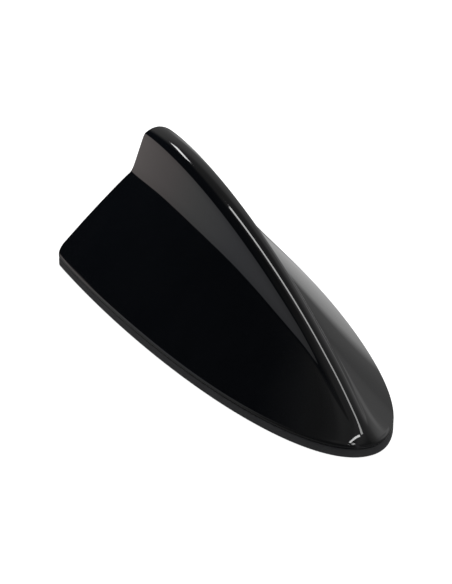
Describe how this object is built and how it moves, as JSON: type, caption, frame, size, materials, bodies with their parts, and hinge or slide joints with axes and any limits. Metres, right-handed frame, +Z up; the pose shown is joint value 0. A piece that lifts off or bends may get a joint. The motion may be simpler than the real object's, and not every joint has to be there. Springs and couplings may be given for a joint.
{
  "type": "car antenna",
  "caption": "Shark-fin roof antenna for a car: gloss black finned cover on a rubber roof seal, with a cast base, a patch and a fin aerial inside, coaxial connectors and a mounting stud.",
  "frame": {"origin": "on the mounting stud's axis at the roof's surface, which is the underside of the roof seal", "axes": "+X towards the nose, as the car drives, +Z up out of the roof, -Z along the stud into the car"},
  "size_m": [0.1603, 0.0724, 0.0683],
  "materials": {
    "cover": "gloss black lacquer over moulded plastic",
    "roof_seal": "satin moulded rubber",
    "base_plate": "as-cast, lightly blasted",
    "cover_screws": "zinc plated",
    "mounting_stud": "zinc plated, passivated",
    "retaining_clips": "spring steel",
    "main_board": "green solder mask",
    "board_screws": "zinc plated",
    "gps_patch": "fired ceramic with a silver face",
    "patch_tape": "adhesive tape",
    "gps_feed_pin": "plated",
    "antenna_holder": "moulded plastic",
    "phone_antenna": "printed board with copper",
    "shield_can": "tin plated",
    "amplifier_chip": "epoxy",
    "filter_chips": "plated lid",
    "chip_capacitors": "ceramic",
    "gps_connector": "moulded, blue code",
    "phone_connector": "moulded, violet code",
    "connector_shells": "nickel plated",
    "connector_insulators": "white plastic",
    "connector_contacts": "gold plated"
  },
  "bodies": {
    "root": {"cover": "cover", "roof_seal": "roof_seal", "base_plate": "base_plate", "cover_screws": "cover_screws", "mounting_stud": "mounting_stud", "retaining_clips": "retaining_clips", "main_board": "main_board", "board_screws": "board_screws", "gps_patch": "gps_patch", "patch_tape": "patch_tape", "gps_feed_pin": "gps_feed_pin", "antenna_holder": "antenna_holder", "phone_antenna": "phone_antenna", "shield_can": "shield_can", "amplifier_chip": "amplifier_chip", "filter_chips": "filter_chips", "chip_capacitors": "chip_capacitors", "gps_connector": "gps_connector", "phone_connector": "phone_connector", "connector_shells": "connector_shells", "connector_insulators": "connector_insulators", "connector_contacts": "connector_contacts"}
  },
  "joints": []
}
